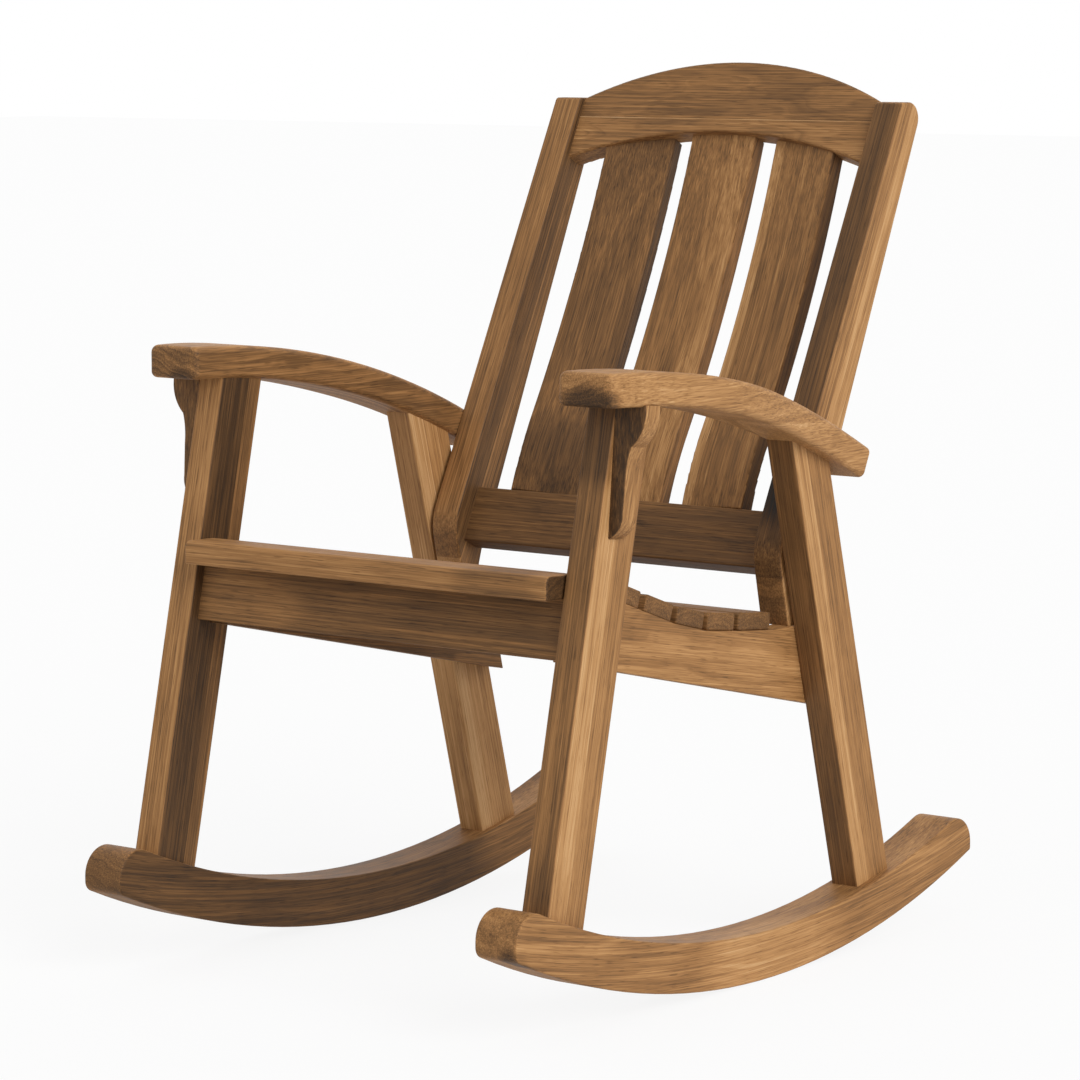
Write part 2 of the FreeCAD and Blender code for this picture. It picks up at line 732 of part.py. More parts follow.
def turned_board(name, place_index, points, width):
    """A board of the back that stands at a slat's place and turns with it."""
    body = board(name, "YZ_Plane", points, width, True)
    sketch = body.Tip.Profile[0]
    toe = FreeCAD.Rotation(FreeCAD.Vector(0, 1, 0), 1)
    sketch.AttachmentOffset = FreeCAD.Placement(FreeCAD.Vector(0, 0, 0), toe)
    sketch.setExpression(".AttachmentOffset.Base.z", bound(f"{place_index} * back_slat_pitch"))
    sketch.setExpression(".AttachmentOffset.Base.x", bound(f"-{abs(place_index)} * outer_slat_lead"))
    sketch.setExpression(".AttachmentOffset.Rotation.Angle", bound(f"{-place_index} * back_slat_toe"))
    return body


def back_slat(name, place_index):
    """A hollow-faced slat with a tenon at each end."""
    peak = "(crest_end_low + crest_arch)"
    top = f"({peak} + 5)"
    top_face = "(crest_set + back_slat_top_set)"
    low_face = "(low_set + back_slat_low_set)"
    chord = f"sqrt(({top} - low_top)^2 + ({top_face} - {low_face})^2)"
    hollow_chord = f"({chord} * (1 - back_turn))"
    hollow_bend = f"(({hollow_chord}^2 / 4 + back_hollow^2) / (2 * back_hollow))"
    foot_bend = f"({hollow_bend} * back_turn / (1 - back_turn))"
    turn_face = f"({low_face} + ({top_face} - {low_face}) * back_turn)"
    turn_level = f"(low_top + ({top} - low_top) * back_turn)"
    outline = [
        (low_face, "low_top", foot_bend, -1),
        (turn_face, turn_level, hollow_bend, 1),
        (top_face, top),
        (f"{top_face} + back_slat_thick", top, hollow_bend, -1),
        (f"{turn_face} + back_slat_thick", turn_level, foot_bend, 1),
        (f"{low_face} + back_slat_thick", "low_top"),
    ]
    body = turned_board(f"{name}_board", place_index, outline, "back_slat_width")
    shortest = value("crest_end_low - low_top") / 8
    round_edges(body, "easing", lambda edge: edge.Length > shortest and not_across(edge))
    place_on_back(body)
    arch = f"(({BACK_HALF}^2 + crest_arch^2) / (2 * crest_arch))"
    shoulder = doc.addObject("Part::Cylinder", f"{name}_shoulder")
    shoulder.setExpression("Radius", bound(f"{arch} - fit"))
    shoulder.Height = 400
    place_on_back(shoulder, "-200", f"{peak} - {arch}", "90")
    trimmed = doc.addObject("Part::Common", f"{name}_trimmed")
    trimmed.Base = body
    trimmed.Tool = shoulder
    lap = 8
    tenons = []
    ends = (
        ("top", top_face, f"{peak} - 2 * {lap}", f"{peak} + tenon_long"),
        ("low", low_face, "low_top - tenon_long", f"low_top + {lap}"),
    )
    for end, face, low, high in ends:
        near = f"{face} + (back_slat_thick - tenon_thick) / 2"
        far = f"{face} + (back_slat_thick + tenon_thick) / 2"
        tenon_outline = [(near, low), (far, low), (far, high), (near, high)]
        tenons.append(place_on_back(turned_board(f"{name}_{end}_tenon", place_index, tenon_outline, "tenon_width")))
    return joined(f"{name}_fused", [trimmed] + tenons), tenons


def leg_pins():
    """Two dowels in each leg's foot and top."""
    for side, sign in SIDES.items():
        x = f"{sign} * (frame_width / 2 + leg_thick / 2)"
        for end in ("front", "rear"):
            lean = "front_lean" if end == "front" else "(-rear_lean)"
            foot, foot_fall = foot_plane(end)
            head, head_fall = head_plane(end)
            leg_name = f"{side}_{end}_leg"
            for share in (0.28, 0.72):
                line = leg_line(end, share)
                low = meet(line, foot, foot_fall)
                high = meet(line, head, head_fall)
                joinery.dowel_upright("rocker_dowels", "dowel_radius", "22", (x, *low), lean,
                                      (leg_name, f"{side}_rocker"))
                joinery.dowel_upright("arm_dowels", "dowel_radius", "18", (x, *high), lean,
                                      (leg_name, f"{side}_armrest"))


def frame_pins():
    """Dowels of the apron, the cross rail, the brackets, the posts and the back's rails."""
    for side, sign in SIDES.items():
        face = f"{sign} * frame_width / 2"
        middle = apron_line("apron_inset + apron_thick / 2")
        for height in ("(apron_bottom + 17)", "(apron_bottom + 50)"):
            joinery.dowel_across("apron_dowels", "pin_radius", "18", (face, on_line(middle, height), height),
                                 ("front_apron", f"{side}_front_leg"))
        inner = f"{sign} * (frame_width / 2 - rail_thick)"
        for height in ("(cross_bottom + 14)", "(cross_top - 14)"):
            joinery.dowel_across("cross_rail_dowels", "pin_radius", "18",
                                 (inner, "(cross_front + cross_thick / 2)", height),
                                 ("rear_cross_rail", f"{side}_seat_rail"))
        outer = f"{sign} * (frame_width / 2 + leg_thick)"
        for drop in (30, 85):
            y = (f"(bracket_front + bracket_thick / 2 * cos(bracket_lean)"
                 f" - {drop} * sin(bracket_lean))")
            z = f"({arm_underside('bracket_front')} - {drop})"
            joinery.dowel_across("bracket_dowels", "pin_radius", "13", (outer, y, z),
                                 (f"{side}_arm_bracket", f"{side}_front_leg"))
        post_outer = f"{sign} * (frame_width / 2 - post_gap)"
        for inset in (33, 15):
            y = f"(arm_rear - {inset})"
            joinery.dowel_across("post_dowels", "pin_radius", "24", (post_outer, y, arm_middle(y)),
                                 (f"{side}_back_post", f"{side}_armrest"))
        foot_level = seat_joint(len(SEAT_HEIGHTS) - 1)[1]
        foot_x = f"{sign} * (frame_width / 2 - (post_gap + rail_thick) / 2)"
        foot_y = "((post_foot_front + post_foot_rear) / 2)"
        joinery.dowel_upright("post_foot_dowels", "pin_radius", "20", (foot_x, foot_y, foot_level), "0",
                              (f"{side}_back_post", f"{side}_seat_rail"))
        back_inner = f"{sign} * {BACK_HALF}"
        rails = (
            ("crest_rail", "(crest_set + crest_thick / 2)", ("(crest_end_low + 22)", "(crest_end_high - 22)")),
            ("lower_back_rail", "(low_set + low_thick / 2)", ("(low_bottom + 18)", "(low_top - 18)")),
        )
        for host, behind, heights in rails:
            for along in heights:
                y = f"(back_start + {behind} * cos(back_lean) + {along} * sin(back_lean))"
                z = f"(back_level - {behind} * sin(back_lean) + {along} * cos(back_lean))"
                joinery.dowel_across("back_rail_dowels", "dowel_radius", "22", (back_inner, y, z),
                                     (host, f"{side}_back_post"))


def slat_pins():
    """One dowel at each end of each seat slat, square to the slat."""
    half = 9
    for side, sign in SIDES.items():
        x = f"{sign} * (frame_width - rail_thick) / 2"
        y = on_line(apron_line("apron_inset + apron_thick / 2"), "front_slat_under")
        joinery.dowel_upright("slat_dowels", "pin_radius", half, (x, y, front_slat_under(y)), "front_slat_tilt",
                              ("front_seat_slat", "front_apron"))
        for number in range(2, len(SEAT_HEIGHTS) + 1):
            first = seat_joint(number - 2)
            second = seat_joint(number - 1)
            y = f"(({first[0]} + {second[0]}) / 2)"
            z = f"(({first[1]} + {second[1]}) / 2)"
            lean = f"atan(({first[1]} - {second[1]}) / ({second[0]} - {first[0]}))"
            joinery.dowel_upright("slat_dowels", "pin_radius", half, (x, y, z), lean,
                                  (f"seat_slat_{number}", f"{side}_seat_rail"))


def frame_bolts():
    """Bolts from inside the side rails into threaded inserts in the legs."""
    bolts = []
    washers = []
    inserts = []
    for side, sign in SIDES.items():
        face = f"(frame_width / 2 - rail_thick)"
        turn = "90" if sign > 0 else "-90"
        spots = []
        for end, share, low in (("front", 0.74, 24), ("rear", 0.5, 26)):
            line = leg_line(end, share)
            for step in (0, 33):
                z = f"(rail_under - ({on_line(line, 'rail_under')}) * tan(rail_slope) + {low + step})"
                spots.append((end, on_line(line, z), z))
        for number, (end, y, z) in enumerate(spots):
            tag = f"{side}_{number}"
            head_start = f"{sign} * ({face} - washer_thick - bolt_head_long)"
            shank_start = f"{sign} * ({face} - washer_thick)"
            head = joinery.rod("bolt_head", tag, "bolt_head_radius", "bolt_head_long",
                               head_start, y, z, turn, (0, 1, 0))
            shank = joinery.rod("bolt_shank", tag, "bolt_radius", "washer_thick + rail_thick + bolt_reach",
                                shank_start, y, z, turn, (0, 1, 0))
            bolt = doc.addObject("Part::Fuse", f"bolt_{tag}")
            bolt.Base = head
            bolt.Tool = shank
            bolts.append(bolt)
            disc = joinery.rod("washer_disc", tag, "washer_radius", "washer_thick",
                               shank_start, y, z, turn, (0, 1, 0))
            bore = joinery.rod("bolt_bore", tag, "bolt_radius + fit",
                               "washer_thick + rail_thick + bolt_reach + 2",
                               f"{sign} * ({face} - washer_thick - 1)", y, z, turn, (0, 1, 0))
            washer = doc.addObject("Part::Cut", f"washer_{tag}")
            washer.Base = disc
            washer.Tool = bore
            washers.append(washer)
            sleeve = joinery.rod("insert_sleeve", tag, "insert_radius", "insert_long",
                                 f"{sign} * (frame_width / 2 + 1)", y, z, turn, (0, 1, 0))
            insert = doc.addObject("Part::Cut", f"insert_{tag}")
            insert.Base = sleeve
            insert.Tool = bore
            inserts.append(insert)
            seat = joinery.rod("insert_seat", tag, "insert_radius + fit", "insert_long + 1",
                               f"{sign} * (frame_width / 2 + 1)", y, z, turn, (0, 1, 0))
            joinery.drill(f"{side}_seat_rail", bore)
            joinery.drill(f"{side}_{end}_leg", bore)
            joinery.drill(f"{side}_{end}_leg", seat)
    return (("frame_bolts", bolts), ("bolt_washers", washers), ("threaded_inserts", inserts))


def build():
    leg_pins()
    frame_pins()
    slat_pins()
    hardware = frame_bolts()
    for side in SIDES:
        legs = {end: leg(end, side) for end in ("front", "rear")}
        corbel = bracket(side)
        joinery.finish_piece(rocker(side), f"{side}_rocker", list(legs.values()))
        joinery.finish_piece(arm(side), f"{side}_armrest", list(legs.values()) + [corbel])
        for end, item in legs.items():
            joinery.finish_piece(item, f"{side}_{end}_leg")
        joinery.finish_piece(corbel, f"{side}_arm_bracket")
        joinery.finish_piece(side_rail(side), f"{side}_seat_rail")
        joinery.finish_piece(post(side), f"{side}_back_post")
    joinery.finish_piece(apron(), "front_apron")
    joinery.finish_piece(cross_rail(), "rear_cross_rail")
    joinery.finish_piece(front_slat(), "front_seat_slat")
    for number in range(2, len(SEAT_HEIGHTS) + 1):
        joinery.finish_piece(seat_slat(number), f"seat_slat_{number}")
    tenons = []
    for name, place_index in (("left_back_slat", 1), ("centre_back_slat", 0), ("right_back_slat", -1)):
        slat, slat_tenons = back_slat(name, place_index)
        finish(slat, name)
        tenons += slat_tenons
    joinery.finish_piece(crest_rail(), "crest_rail", tenons)
    joinery.finish_piece(lower_rail(), "lower_back_rail", tenons)
    for kind, rods in joinery.parts.items():
        finish(group(f"{kind}_group", rods), kind)
    for kind, items in hardware:
        finish(group(f"{kind}_group", items), kind)
    doc.recompute()


def check_and_write():
    """Refuse a failed object, then write each piece to its own file."""
    for item in doc.Objects:
        if "Invalid" in item.State or "Error" in item.State:
            raise RuntimeError(f"{item.Name} ({item.Label}) failed: {item.State}")
    for item in nodes:
        if item.Shape.isNull() or not item.Shape.isValid():
            raise RuntimeError(f"{item.Label} has no valid shape")
    os.makedirs("parts", exist_ok=True)
    for item in nodes:
        item.Shape.exportStep(f"parts/{item.Label}.step")


build()
check_and_write()
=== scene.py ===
import math

import bpy
from mathutils import Matrix, Vector

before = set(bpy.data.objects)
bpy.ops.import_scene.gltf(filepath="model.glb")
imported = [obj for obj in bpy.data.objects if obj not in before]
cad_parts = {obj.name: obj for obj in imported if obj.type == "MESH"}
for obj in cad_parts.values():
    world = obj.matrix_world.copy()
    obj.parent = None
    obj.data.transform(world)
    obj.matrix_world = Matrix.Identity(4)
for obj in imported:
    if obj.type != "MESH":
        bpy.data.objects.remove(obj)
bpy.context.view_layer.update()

MM = 0.001

# Tone that end grain loses, and how far the grain jumps from one lamination to the next, in millimetres.
END_GRAIN_TONE = -0.07
LAMINATION_JUMP = 613

# Lean of the chair's members, in degrees from upright, and where the back's front face passes.
FRONT_LEAN = 12.45
REAR_LEAN = 14.94
BACK_LEAN = 26.4
RAIL_FALL = 10
BACK_FOOT = (0, 178, 619)


def linear(hex_colour):
    """An sRGB hex colour as linear red, green, blue and alpha."""
    parts = [int(hex_colour[i:i + 2], 16) / 255 for i in (1, 3, 5)]
    return [p / 12.92 if p <= 0.04045 else ((p + 0.055) / 1.055) ** 2.4 for p in parts] + [1]


def add_node(tree, kind, inputs=None, **settings):
    """A node with its settings, each input linked to a socket or set to a value."""
    node = tree.nodes.new(kind)
    for name, setting in settings.items():
        setattr(node, name, setting)
    for key, source in (inputs or {}).items():
        if isinstance(source, bpy.types.NodeSocket):
            tree.links.new(source, node.inputs[key])
        else:
            node.inputs[key].default_value = source
    return node


def calculate(tree, operation, *values):
    """The result of one sum on numbers or sockets."""
    return add_node(tree, "ShaderNodeMath", dict(enumerate(values)), operation=operation).outputs[0]


def set_stops(node, stops, interpolation="LINEAR"):
    """Colour stops, as (place, hex colour or grey level) pairs."""
    ramp = node.color_ramp
    ramp.interpolation = interpolation
    while len(ramp.elements) < len(stops):
        ramp.elements.new(1)
    for element, (place, colour) in zip(ramp.elements, stops):
        element.position = place
        element.color = linear(colour) if isinstance(colour, str) else (colour, colour, colour, 1)
    return node


# Directions of the grain, each with the direction across the board's visible width.
def leaning(angle):
    """Up a member that leans to the rear, and across it to the rear."""
    a = math.radians(angle)
    return (0, math.sin(a), math.cos(a)), (0, math.cos(a), -math.sin(a))


UP_FRONT_LEG = leaning(FRONT_LEAN)
UP_REAR_LEG = leaning(-REAR_LEAN)
UP_BACK = leaning(BACK_LEAN)
ALONG_RAIL = leaning(90 + RAIL_FALL)
CROSSWISE = ((1, 0, 0), (0, 0, 1))
CROSS_FLAT = ((1, 0, 0), (0, 1, 0))
FORE_AND_AFT = ((0, 1, 0), (0, 0, 1))
ARM_GRAIN = ((0, 1, 0), (1, 0, 0))
CREST_GRAIN = ((1, 0, 0), UP_BACK[0])

LEFTWARD = (1, 0, 0)
FORWARD = (0, -1, 0)


def on_back(x, up, behind=0):
    """A point of the back, in millimetres up its front face and behind it."""
    along, rear = (Vector(d) for d in UP_BACK)
    return Vector(BACK_FOOT) + Vector((x, 0, 0)) + along * up + rear * behind


def turn_of(grain):
    """The turn that takes x along the grain and y across it."""
    along, across = (Vector(d).normalized() for d in grain)
    through = along.cross(across)
    return Matrix((along, across, through)).transposed().to_euler()


# Colours of the oiled timber from its darkest vein to its palest sapwood.
TIMBER_TONES = [(0, "#1B1209"), (0.2, "#432D17"), (0.4, "#6F4E2D"), (0.55, "#966B3F"), (0.7, "#B78957"),
                (0.85, "#CDA474"), (1, "#E6CCA9")]


def timber(name, grain, centre, tone=0.5, strips=(), face_shade=(), shade_and_tone_patches=(), bend=0, pith=(90, 25), ring=5.5,
           waviness=4, veins=0.12, fibre=0.17, seed=0):
    """Oiled hardwood, planed and sanded: the rings, fibres and pores run through the board as in a real one.

    Lengths are in millimetres. Strips are the glued laminations, as (axis, ((from, tone), ...)) pairs, and the grain
    breaks from one to the next. Tones by facing direction are painted shade: they darken whole sides of a piece that
    face away from the key light or into the chair. Patches are darker or paler areas, as (centre, radii, tone) with
    a
    soft border: the darker ones under the arms, on the arms' front ends and low on the back are painted shade, the
    others darker or paler heartwood.
    """
    material = bpy.data.materials.new(name)
    material.use_nodes = True
    tree = material.node_tree
    tree.nodes.clear()
    place = add_node(tree, "ShaderNodeTexCoord")
    on_board = add_node(tree, "ShaderNodeMapping", {
        "Vector": place.outputs["Object"], "Location": Vector(centre) * MM, "Rotation": turn_of(grain),
        "Scale": (MM, MM, MM)}, vector_type="TEXTURE")
    parts = add_node(tree, "ShaderNodeSeparateXYZ", {0: on_board.outputs[0]})
    along, across, through = parts.outputs
    if bend:
        square = calculate(tree, "MULTIPLY", along, along)
        across = calculate(tree, "MULTIPLY_ADD", square, -bend, across)

    total = tone
    shift = float(seed)
    for axis, stops in strips:
        source = {"across": across, "through": through}[axis]
        low, high = stops[0][0], stops[-1][0] + 20
        share = add_node(tree, "ShaderNodeMapRange", {0: source, 1: low, 2: high, 3: 0, 4: 1}).outputs[0]
        marks = [((start - low) / (high - low), 0.5 + level) for start, level in stops]
        ramp = set_stops(add_node(tree, "ShaderNodeValToRGB", {0: share}), marks, "CONSTANT")
        total = calculate(tree, "ADD", total, calculate(tree, "SUBTRACT", ramp.outputs[0], 0.5))
        shift = calculate(tree, "MULTIPLY_ADD", ramp.outputs[0], LAMINATION_JUMP, shift)

    shifted_along = calculate(tree, "ADD", along, shift)
    shifted_across = calculate(tree, "MULTIPLY_ADD", shift, 0.31, across)

    def sample(scale_along, scale_across, detail, roughness=0.5):
        where = add_node(tree, "ShaderNodeCombineXYZ", {
            0: calculate(tree, "DIVIDE", shifted_along, scale_along),
            1: calculate(tree, "DIVIDE", shifted_across, scale_across),
            2: calculate(tree, "DIVIDE", through, scale_across)})
        return add_node(tree, "ShaderNodeTexNoise", {
            "Vector": where.outputs[0], "Scale": 1, "Detail": detail, "Roughness": roughness}).outputs[0]

    # Growth rings: cylinders round a pith outside the board, pushed about slowly along the grain.
    sway = calculate(tree, "SUBTRACT", sample(260, 45, 2), 0.5)
    ripple = calculate(tree, "SUBTRACT", sample(70, 14, 1), 0.5)
    side_a = calculate(tree, "SUBTRACT", across, float(pith[0]))
    side_b = calculate(tree, "SUBTRACT", through, float(pith[1]))
    radius = calculate(tree, "SQRT", calculate(tree, "ADD", calculate(tree, "MULTIPLY", side_a, side_a),
                                               calculate(tree, "MULTIPLY", side_b, side_b)))
    radius = calculate(tree, "MULTIPLY_ADD", sway, 4.0 * waviness, radius)
    radius = calculate(tree, "MULTIPLY_ADD", ripple, 0.35 * waviness, radius)
    rings = calculate(tree, "DIVIDE", calculate(tree, "ADD", radius, shift), ring)
    bands = add_node(tree, "ShaderNodeTexNoise", {
        "W": rings, "Scale": 0.62, "Detail": 3, "Roughness": 0.62}, noise_dimensions="1D").outputs[0]
    late_wood = set_stops(add_node(tree, "ShaderNodeValToRGB", {0: calculate(tree, "FRACT", rings)}),
                          [(0, 0.15), (0.12, 0), (0.7, 0.2), (0.93, 1), (1, 0.15)]).outputs[0]

    # Bundles of fibres two millimetres wide, hairs finer than one, and the open pores of the hardwood.
    fibres = sample(210, 1.8, 3, 0.6)
    hairs = sample(70, 0.8, 1)
    pores = set_stops(add_node(tree, "ShaderNodeValToRGB", {0: sample(24, 0.9, 0)}),
                      [(0.64, 0), (0.74, 1)]).outputs[0]
    blotches = sample(120, 26, 2)

    def add_tone(part, weight, middle=0.5):
        nonlocal total
        total = calculate(tree, "MULTIPLY_ADD", calculate(tree, "SUBTRACT", part, middle), weight, total)

    add_tone(bands, 2.2 * veins)
    add_tone(late_wood, -0.35 * veins, 0.3)
    add_tone(fibres, 3.4 * fibre)
    add_tone(hairs, 0.9 * fibre)
    add_tone(pores, -0.7 * fibre, 0.1)
    add_tone(blotches, 0.22)

    facing = place.outputs["Normal"]
    end_grain = calculate(tree, "ABSOLUTE", add_node(tree, "ShaderNodeVectorMath", {
        0: facing, 1: Vector(grain[0])}, operation="DOT_PRODUCT").outputs["Value"])
    # End grain loses a little tone; the tones by facing direction are painted shade on whole sides.
    for share_of, level in [(end_grain, END_GRAIN_TONE)] + [
            (add_node(tree, "ShaderNodeVectorMath", {0: facing, 1: Vector(way)},
                      operation="DOT_PRODUCT").outputs["Value"], level) for way, level in face_shade]:
        share = add_node(tree, "ShaderNodeMapRange", {0: share_of, 1: 0.45, 2: 0.85, 3: 0, 4: level})
        total = calculate(tree, "ADD", total, share.outputs[0])
    # Darker patches under the arms, on the arms' front ends and low on the back are painted shade; the others are
    # heartwood.
    for middle, radii, level in shade_and_tone_patches:
        inside = add_node(tree, "ShaderNodeMapping", {
            "Vector": place.outputs["Object"], "Location": Vector(middle) * MM, "Scale": Vector(radii) * MM},
            vector_type="TEXTURE")
        far = add_node(tree, "ShaderNodeVectorMath", {0: inside.outputs[0]}, operation="LENGTH").outputs["Value"]
        far = calculate(tree, "MULTIPLY_ADD", calculate(tree, "SUBTRACT", bands, 0.5), 0.25, far)
        share = add_node(tree, "ShaderNodeMapRange", {0: far, 1: 1.1, 2: 0.55, 3: 0, 4: level},
                         interpolation_type="SMOOTHSTEP")
        total = calculate(tree, "ADD", total, share.outputs[0])

    colour = set_stops(add_node(tree, "ShaderNodeValToRGB", {0: total}), TIMBER_TONES)
    height = calculate(tree, "MULTIPLY_ADD", pores, -0.8, calculate(tree, "ADD", fibres, bands))
    bump = add_node(tree, "ShaderNodeBump", {"Height": height, "Strength": 0.25, "Distance": 0.0004})
    sheen = add_node(tree, "ShaderNodeMapRange", {0: fibres, 1: 0.3, 2: 0.7, 3: 0.55, 4: 0.7})
    surface = add_node(tree, "ShaderNodeBsdfPrincipled", {
        "Base Color": colour.outputs[0], "Roughness": sheen.outputs[0], "Normal": bump.outputs[0],
        "IOR": 1.5, "Metallic": 0.0, "Specular IOR Level": 0.25})
    add_node(tree, "ShaderNodeOutputMaterial", {0: surface.outputs[0]})
    return material


def metal(name, hex_colour, roughness, turning):
    """Machined metal: fine turning marks round the shank, a millimetre apart at most."""
    material = bpy.data.materials.new(name)
    material.use_nodes = True
    tree = material.node_tree
    tree.nodes.clear()
    place = add_node(tree, "ShaderNodeTexCoord")
    marks = add_node(tree, "ShaderNodeTexNoise", {
        "Vector": place.outputs["Object"], "Scale": 1 / (turning * MM), "Detail": 2})
    stain = add_node(tree, "ShaderNodeTexNoise", {"Vector": place.outputs["Object"], "Scale": 60, "Detail": 2})
    tint = add_node(tree, "ShaderNodeMixRGB", {
        0: stain.outputs[0], 1: linear(hex_colour), 2: [c * 0.75 for c in linear(hex_colour)[:3]] + [1]})
    rough = add_node(tree, "ShaderNodeMapRange", {
        0: marks.outputs[0], 1: 0.3, 2: 0.7, 3: roughness - 0.06, 4: roughness + 0.08})
    bump = add_node(tree, "ShaderNodeBump", {"Height": marks.outputs[0], "Strength": 0.1, "Distance": 0.0001})
    surface = add_node(tree, "ShaderNodeBsdfPrincipled", {
        "Base Color": tint.outputs[0], "Roughness": rough.outputs[0], "Normal": bump.outputs[0], "Metallic": 1.0})
    add_node(tree, "ShaderNodeOutputMaterial", {0: surface.outputs[0]})
    return material


def finish_with(node, material):
    """The CAD piece keeps its shape and gets this finish."""
    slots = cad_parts[node].data.materials
    slots.clear()
    slots.append(material)


def front_leg_middle(x):
    return (x, -381.2 + 300 * math.tan(math.radians(FRONT_LEAN)), 300)


def rear_leg_middle(x):
    return (x, 272.4 - 300 * math.tan(math.radians(REAR_LEAN)), 300)


# Tones by facing direction on these boards are painted shade, and so are the darker patches under the arms, on the
# arms' front ends and low on the back.
BOARDS = {
    "left_front_leg": dict(
        grain=UP_FRONT_LEG, centre=front_leg_middle(282.6), tone=0.56, seed=11, pith=(-150, 20),
        strips=[("across", ((-34, 0.14), (-2.0, 0.0)))], face_shade=[(FORWARD, -0.26)],
        shade_and_tone_patches=[((282, -262, 640), (60, 60, 60), -0.16), ((290, -400, 130), (60, 70, 90), -0.08)]),
    "right_front_leg": dict(
        grain=UP_FRONT_LEG, centre=front_leg_middle(-282.6), tone=0.57, seed=23, pith=(-110, -60),
        strips=[("across", ((-34, -0.02), (12, 0.16)))], face_shade=[(LEFTWARD, -0.32)]),
    "left_rear_leg": dict(
        grain=UP_REAR_LEG, centre=rear_leg_middle(282.6), tone=0.54, seed=37, pith=(-140, -10),
        strips=[("across", ((-34, 0.12), (-9, 0.0)))], face_shade=[(FORWARD, -0.24)]),
    "right_rear_leg": dict(
        grain=UP_REAR_LEG, centre=rear_leg_middle(-282.6), tone=0.62, seed=41, pith=(-120, 30),
        strips=[("across", ((-34, 0.12), (-10, 0.0)))], face_shade=[(FORWARD, -0.1)]),
    "left_rocker": dict(
        grain=FORE_AND_AFT, centre=(285, 20, 0), tone=0.56, seed=53, bend=0.00026, pith=(-240, -70), ring=8,
        waviness=12, strips=[("through", ((-30, 0.0), (2, -0.02)))],
        shade_and_tone_patches=[((301, -450, 80), (17, 26, 45), -0.24), ((313, 20, 30), (40, 160, 70), 0.12)]),
    "right_rocker": dict(
        grain=FORE_AND_AFT, centre=(-285, 20, 0), tone=0.44, seed=67, bend=0.00026, pith=(-240, -70), ring=8,
        waviness=12, face_shade=[(LEFTWARD, -0.17)], shade_and_tone_patches=[((-257, 340, 70), (50, 170, 90), 0.18)]),
    "left_armrest": dict(
        grain=ARM_GRAIN, centre=(290, 0, 700), tone=0.62, seed=71, pith=(30, 120), ring=6, waviness=10,
        shade_and_tone_patches=[((303, -316, 682), (46, 24, 26), -0.36)]),
    "right_armrest": dict(
        grain=ARM_GRAIN, centre=(-290, 0, 700), tone=0.57, seed=83, pith=(-40, 90), ring=6, waviness=10, veins=0.2,
        face_shade=[(LEFTWARD, -0.13), (FORWARD, -0.1)], shade_and_tone_patches=[((-283, -316, 680), (22, 20, 18), -0.16)]),
    "left_arm_bracket": dict(
        grain=UP_FRONT_LEG, centre=(315, -290, 620), tone=0.58, seed=97, face_shade=[(FORWARD, -0.36)]),
    "right_arm_bracket": dict(
        grain=UP_FRONT_LEG, centre=(-315, -290, 620), tone=0.48, seed=101, face_shade=[(FORWARD, -0.12)]),
    "left_seat_rail": dict(
        grain=ALONG_RAIL, centre=(250, 0, 400), tone=0.58, seed=103, ring=9, waviness=14, pith=(-40, -120)),
    "right_seat_rail": dict(
        grain=ALONG_RAIL, centre=(-250, 0, 400), tone=0.42, seed=107, ring=9, waviness=14, pith=(-40, -120)),
    "left_back_post": dict(
        grain=UP_BACK, centre=on_back(240.3, 100, 25), tone=0.56, seed=109, pith=(-160, 10),
        strips=[("across", ((-25, -0.02), (-4, 0.1)))], face_shade=[(FORWARD, -0.18)],
        shade_and_tone_patches=[((240, 165, 560), (60, 60, 75), -0.3)]),
    "right_back_post": dict(
        grain=UP_BACK, centre=on_back(-240.3, 100, 25), tone=0.5, seed=113, pith=(-130, 20),
        strips=[("across", ((-25, 0.0), (5, 0.14)))], face_shade=[(LEFTWARD, -0.18)]),
    "front_apron": dict(
        grain=CROSSWISE, centre=(0, -290, 430), tone=0.38, seed=127, ring=7, pith=(-120, 60),
        shade_and_tone_patches=[((-190, -310, 430), (90, 60, 60), 0.1)]),
    "rear_cross_rail": dict(
        grain=CROSSWISE, centre=(0, 108, 361), tone=0.42, seed=131, ring=7),
    "front_seat_slat": dict(
        grain=CROSS_FLAT, centre=(0, -315, 485), tone=0.54, seed=137, pith=(60, -140), ring=6,
        face_shade=[(LEFTWARD, -0.27)], shade_and_tone_patches=[((190, -330, 480), (70, 60, 40), -0.1)]),
    # The crest's thin bright band, 0.8 mm wide at the glue line, is a painted highlight; the tones on either side of
    # it are the two glued boards.
    "crest_rail": dict(
        grain=CREST_GRAIN, centre=on_back(0, 397, 25), tone=0.47, seed=139, ring=9, waviness=22, pith=(30, 150),
        strips=[("across", ((-70, 0.05), (-0.4, 0.25), (0.4, -0.02)))]),
    "lower_back_rail": dict(
        grain=CREST_GRAIN, centre=on_back(0, -134, 41), tone=0.34, seed=149, ring=8, waviness=14, pith=(20, 140)),
    "right_back_slat": dict(
        grain=UP_BACK, centre=on_back(-120, 130, 30), tone=0.4, seed=151, pith=(200, 20),
        face_shade=[(LEFTWARD, -0.14)], shade_and_tone_patches=[(on_back(-120, -50), (70, 70, 80), -0.13)]),
    "centre_back_slat": dict(
        grain=(UP_BACK[0], (1, 0, 0)), centre=on_back(0, 130, 30), tone=0.49, seed=157, pith=(12, 60), ring=8,
        waviness=22, strips=[("across", ((-55, -0.02), (14, 0.08)))], face_shade=[(LEFTWARD, -0.14)]),
    "left_back_slat": dict(
        grain=(UP_BACK[0], (1, 0, 0)), centre=on_back(120, 130, 30), tone=0.45, seed=163, pith=(160, 40),
        strips=[("across", ((-55, 0.2), (-28, 0.03)))], face_shade=[(LEFTWARD, -0.17)]),
}
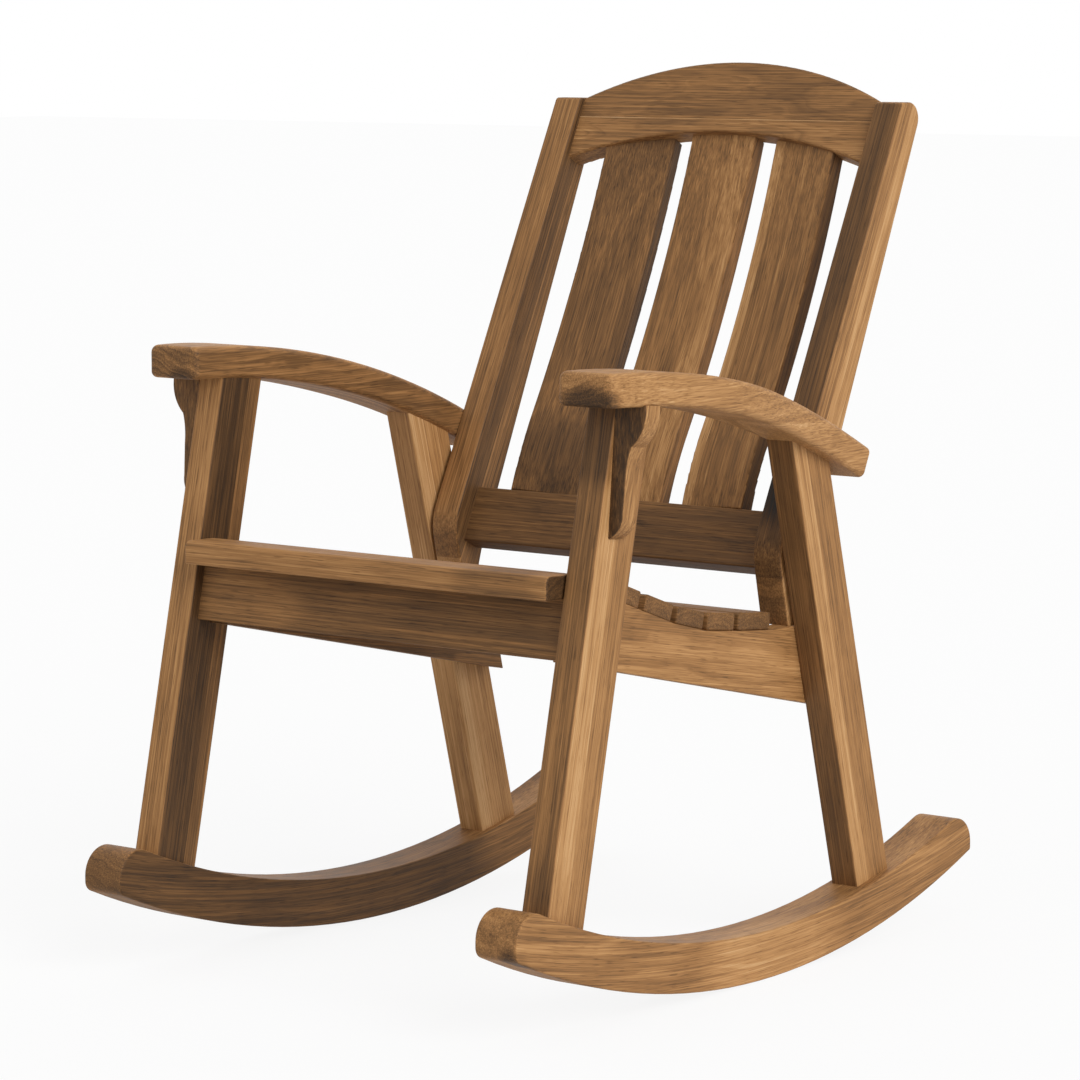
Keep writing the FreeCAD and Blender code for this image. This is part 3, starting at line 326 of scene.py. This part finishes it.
# Middles of the seat slats behind the front one, as (y, z) in millimetres.
SEAT_SLAT_MIDDLES = ((-265, 458), (-203, 440), (-142, 420), (-80, 404), (-19, 396), (48, 390))
for number, (y, z) in enumerate(SEAT_SLAT_MIDDLES, start=2):
    BOARDS[f"seat_slat_{number}"] = dict(
        grain=CROSS_FLAT, centre=(0, y, z), tone=0.45 + 0.03 * math.sin(2.3 * number), seed=167 + 7 * number, ring=5,
        pith=(8 * math.sin(3.1 * number), -16 - 5 * math.cos(number)), waviness=5)

for node, facts in BOARDS.items():
    finish_with(node, timber(f"oiled_hardwood_{node}", **facts))

dowel_finish = timber("planed_dowel_hardwood", ((0, 0, 1), (1, 0, 0)), (0, 0, 0), tone=0.6, seed=211)
for node in ("rocker_dowels", "arm_dowels", "apron_dowels", "cross_rail_dowels", "bracket_dowels", "post_dowels",
             "post_foot_dowels", "back_rail_dowels", "slat_dowels"):
    finish_with(node, dowel_finish)
zinc = metal("zinc_plated_steel_turned", "#B9BCC0", 0.34, 0.5)
brass = metal("turned_brass", "#C9A24B", 0.3, 0.5)
finish_with("frame_bolts", zinc)
finish_with("bolt_washers", zinc)
finish_with("threaded_inserts", brass)

# Studio: white floor and surroundings, a broad light from the sitter's left and above, and weaker ones elsewhere.
# Lengths from here on are in metres. The floor lies just under the rockers, so that the two don't share a surface.
FLOOR_HALF = 30
FLOOR_LEVEL = -0.0005
FLOOR_CORNERS = [(x * FLOOR_HALF, y * FLOOR_HALF, FLOOR_LEVEL) for x, y in ((-1, -1), (1, -1), (1, 1), (-1, 1))]
# Share of the paper that shows as plain white to the camera and in reflections. The rest keeps the shadow.
PAPER_GLOW = 0.88
floor_mesh = bpy.data.meshes.new("floor")
floor_mesh.from_pydata(FLOOR_CORNERS, [], [(0, 1, 2, 3)])
floor = bpy.data.objects.new("floor", floor_mesh)
bpy.context.scene.collection.objects.link(floor)


def white_ray(tree):
    """1 for the rays that see the background: from the camera, or by reflection or through glass."""
    path = add_node(tree, "ShaderNodeLightPath")
    seen = calculate(tree, "MAXIMUM", path.outputs["Is Camera Ray"], path.outputs["Is Glossy Ray"])
    return calculate(tree, "MAXIMUM", seen, path.outputs["Is Transmission Ray"])


paper = bpy.data.materials.new("white_studio_paper")
paper.use_nodes = True
tree = paper.node_tree
tree.nodes.clear()
matt = add_node(tree, "ShaderNodeBsdfDiffuse", {"Color": (0.86, 0.86, 0.86, 1)})
glow = add_node(tree, "ShaderNodeEmission", {"Color": (1, 1, 1, 1), "Strength": 1.0})
blend = add_node(tree, "ShaderNodeMixShader", {
    0: calculate(tree, "MULTIPLY", white_ray(tree), PAPER_GLOW), 1: matt.outputs[0], 2: glow.outputs[0]})
add_node(tree, "ShaderNodeOutputMaterial", {0: blend.outputs[0]})
floor_mesh.materials.append(paper)

WORLD_LEVEL = 0.4
world = bpy.data.worlds.new("studio")
bpy.context.scene.world = world
world.use_nodes = True
tree = world.node_tree
tree.nodes.clear()
level = add_node(tree, "ShaderNodeMapRange", {0: white_ray(tree), 1: 0, 2: 1, 3: WORLD_LEVEL, 4: 1.0})
sky = add_node(tree, "ShaderNodeBackground", {"Color": (1, 1, 1, 1), "Strength": level.outputs[0]})
add_node(tree, "ShaderNodeOutputWorld", {0: sky.outputs[0]})


def soft_light(name, toward, strength, spread):
    """Light from a broad source in that direction, with soft shadows."""
    lamp = bpy.data.lights.new(name, "SUN")
    lamp.energy = strength
    lamp.angle = math.radians(spread)
    holder = bpy.data.objects.new(name, lamp)
    bpy.context.scene.collection.objects.link(holder)
    holder.rotation_euler = Vector(toward).to_track_quat("Z", "Y").to_euler()


soft_light("key", (0.85, -0.22, 0.55), 2.1, 40)
soft_light("front_fill", (-0.1, -0.6, 0.8), 0.5, 60)
soft_light("rear_fill", (-0.5, 0.8, 0.45), 0.5, 60)

# The camera's place and direction, fitted to the photograph.
EYE_AT = (2.9846, -3.8970, 1.0955)
LOOKS_DOWN = 7.089
TURNED_LEFT = 37.5
camera = bpy.data.cameras.new("camera")
camera.lens = 140.3
camera.sensor_width = 36
camera.clip_end = 100
eye = bpy.data.objects.new("camera", camera)
bpy.context.scene.collection.objects.link(eye)
eye.location = EYE_AT
eye.rotation_euler = (math.radians(90 - LOOKS_DOWN), 0, math.radians(TURNED_LEFT))
bpy.context.scene.camera = eye
bpy.context.scene.view_settings.view_transform = "Standard"
